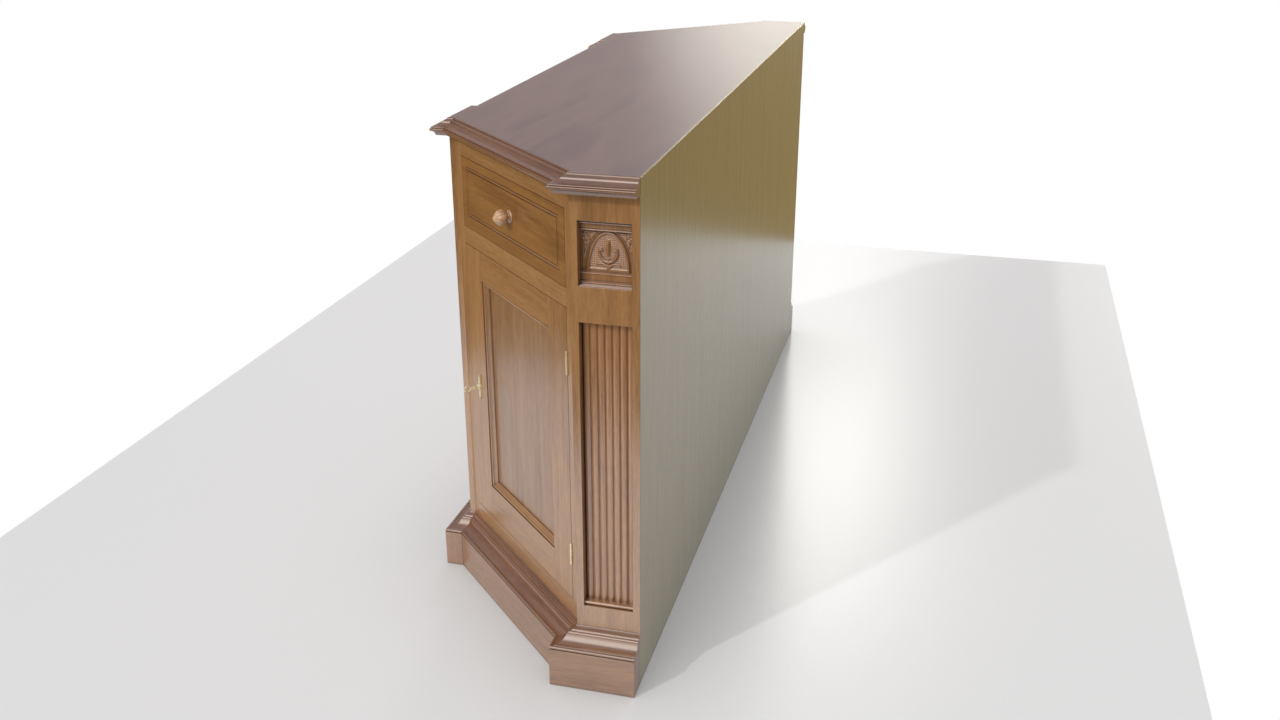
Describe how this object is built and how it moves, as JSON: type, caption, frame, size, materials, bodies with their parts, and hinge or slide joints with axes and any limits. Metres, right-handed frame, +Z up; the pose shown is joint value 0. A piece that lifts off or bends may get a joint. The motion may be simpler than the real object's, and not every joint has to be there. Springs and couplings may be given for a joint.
{
  "type": "canted sideboard cabinet",
  "caption": "Long wooden hall cabinet with canted corners: panelled cupboards under drawers, between pilasters with reeded panels and carved plaques, under a moulded top.",
  "frame": {"origin": "on the floor under the middle of the bounding box", "axes": "+X along the length, +Y towards the plain back, +Z up; doors and drawers face -Y and the two canted corners"},
  "size_m": [2.014, 0.533, 1],
  "materials": {
    "case_wood": "satin varnish",
    "door_wood": "satin varnish",
    "drawer_wood": "satin varnish",
    "panel_wood": "satin varnish",
    "carved_wood": "satin varnish",
    "moulding_wood": "satin varnish",
    "plinth_wood": "satin varnish",
    "top_wood": "gloss varnish",
    "knob_wood": "satin varnish",
    "inside_wood": "bare, planed",
    "back_wood": "satin stain",
    "brass": "polished, lightly worn"
  },
  "bodies": {
    "root": {"plinth": "plinth_wood", "glue_blocks": "inside_wood", "floor_board": "inside_wood", "base_moulding": "moulding_wood", "worktop": "top_wood", "worktop_moulding": "moulding_wood", "back_board": "back_wood", "end_pilaster_right": "case_wood", "end_pilaster_left": "case_wood", "front_pilaster_right": "case_wood", "front_pilaster_left": "case_wood", "reeded_panels": "carved_wood", "carved_plaques": "carved_wood", "cant_frame_right": "case_wood", "cant_frame_left": "case_wood", "front_frame": "case_wood", "partitions": "inside_wood", "dust_boards": "inside_wood", "drawer_runners": "inside_wood", "shelves": "inside_wood", "shelf_bearers": "inside_wood", "frame_hinge_leaves": "brass", "hinge_pins": "brass"},
    "cant_right_drawer": {"cant_right_drawer_front": "drawer_wood", "cant_right_drawer_box": "inside_wood", "cant_right_drawer_knob": "knob_wood"},
    "cant_right_door": {"cant_right_door_frame": "door_wood", "cant_right_door_panel": "panel_wood", "cant_right_door_hinges": "brass", "cant_right_door_lock": "brass"},
    "cant_right_key": {"cant_right_key": "brass"},
    "cant_right_bolt": {"cant_right_bolt": "brass"},
    "cant_left_drawer": {"cant_left_drawer_front": "drawer_wood", "cant_left_drawer_box": "inside_wood", "cant_left_drawer_knob": "knob_wood"},
    "cant_left_door": {"cant_left_door_frame": "door_wood", "cant_left_door_panel": "panel_wood", "cant_left_door_hinges": "brass", "cant_left_door_lock": "brass"},
    "cant_left_key": {"cant_left_key": "brass"},
    "cant_left_bolt": {"cant_left_bolt": "brass"},
    "front_right_drawer": {"front_right_drawer_front": "drawer_wood", "front_right_drawer_box": "inside_wood", "front_right_drawer_knob": "knob_wood"},
    "front_right_door": {"front_right_door_frame": "door_wood", "front_right_door_panel": "panel_wood", "front_right_door_hinges": "brass", "front_right_door_lock": "brass"},
    "front_right_key": {"front_right_key": "brass"},
    "front_right_bolt": {"front_right_bolt": "brass"},
    "front_left_drawer": {"front_left_drawer_front": "drawer_wood", "front_left_drawer_box": "inside_wood", "front_left_drawer_knob": "knob_wood"},
    "front_left_door": {"front_left_door_frame": "door_wood", "front_left_door_panel": "panel_wood", "front_left_door_hinges": "brass", "front_left_door_lock": "brass"},
    "front_left_key": {"front_left_key": "brass"},
    "front_left_bolt": {"front_left_bolt": "brass"}
  },
  "joints": [
    {"name": "cant_right_drawer_slide", "type": "slide", "parent": "root", "child": "cant_right_drawer", "axis": [0.7071, -0.7071, 0], "range_m": [0, 0.12]},
    {"name": "cant_right_door_hinge", "type": "hinge", "parent": "root", "child": "cant_right_door", "pos_m": [0.93381, 0.12333, 0.45], "axis": [0, 0, 1], "range_deg": [0, 110]},
    {"name": "cant_right_key_turn", "type": "hinge", "parent": "cant_right_door", "child": "cant_right_key", "pos_m": [0.64552, -0.16298, 0.446], "axis": [0.7071, -0.7071, 0], "range_deg": [0, 180]},
    {"name": "cant_right_bolt_slide", "type": "slide", "parent": "cant_right_door", "child": "cant_right_bolt", "axis": [-0.7071, -0.7071, 0], "range_m": [0, 0.008]},
    {"name": "cant_left_drawer_slide", "type": "slide", "parent": "root", "child": "cant_left_drawer", "axis": [-0.7071, -0.7071, 0], "range_m": [0, 0.12]},
    {"name": "cant_left_door_hinge", "type": "hinge", "parent": "root", "child": "cant_left_door", "pos_m": [-0.93381, 0.12333, 0.45], "axis": [0, 0, -1], "range_deg": [0, 110]},
    {"name": "cant_left_key_turn", "type": "hinge", "parent": "cant_left_door", "child": "cant_left_key", "pos_m": [-0.64552, -0.16298, 0.446], "axis": [0.7071, 0.7071, 0], "range_deg": [0, 180]},
    {"name": "cant_left_bolt_slide", "type": "slide", "parent": "cant_left_door", "child": "cant_left_bolt", "axis": [0.7071, -0.7071, 0], "range_m": [0, 0.008]},
    {"name": "front_right_drawer_slide", "type": "slide", "parent": "root", "child": "front_right_drawer", "axis": [0, -1, 0], "range_m": [0, 0.3]},
    {"name": "front_right_door_hinge", "type": "hinge", "parent": "root", "child": "front_right_door", "pos_m": [0.449, -0.2114, 0.45], "axis": [0, 0, 1], "range_deg": [0, 110]},
    {"name": "front_right_key_turn", "type": "hinge", "parent": "front_right_door", "child": "front_right_key", "pos_m": [0.0665, -0.21, 0.446], "axis": [0, -1, 0], "range_deg": [0, 180]},
    {"name": "front_right_bolt_slide", "type": "slide", "parent": "front_right_door", "child": "front_right_bolt", "axis": [-1, 0, 0], "range_m": [0, 0.008]},
    {"name": "front_left_drawer_slide", "type": "slide", "parent": "root", "child": "front_left_drawer", "axis": [0, -1, 0], "range_m": [0, 0.3]},
    {"name": "front_left_door_hinge", "type": "hinge", "parent": "root", "child": "front_left_door", "pos_m": [-0.449, -0.2114, 0.45], "axis": [0, 0, -1], "range_deg": [0, 110]},
    {"name": "front_left_key_turn", "type": "hinge", "parent": "front_left_door", "child": "front_left_key", "pos_m": [-0.0665, -0.21, 0.446], "axis": [0, 1, 0], "range_deg": [0, 180]},
    {"name": "front_left_bolt_slide", "type": "slide", "parent": "front_left_door", "child": "front_left_bolt", "axis": [1, 0, 0], "range_m": [0, 0.008]}
  ],
  "couplings": [
    {"joint": "cant_right_key_turn", "follows": "cant_right_bolt_slide", "rad_per_m": 392},
    {"joint": "cant_left_key_turn", "follows": "cant_left_bolt_slide", "rad_per_m": 392},
    {"joint": "front_right_key_turn", "follows": "front_right_bolt_slide", "rad_per_m": 392},
    {"joint": "front_left_key_turn", "follows": "front_left_bolt_slide", "rad_per_m": 392}
  ]
}
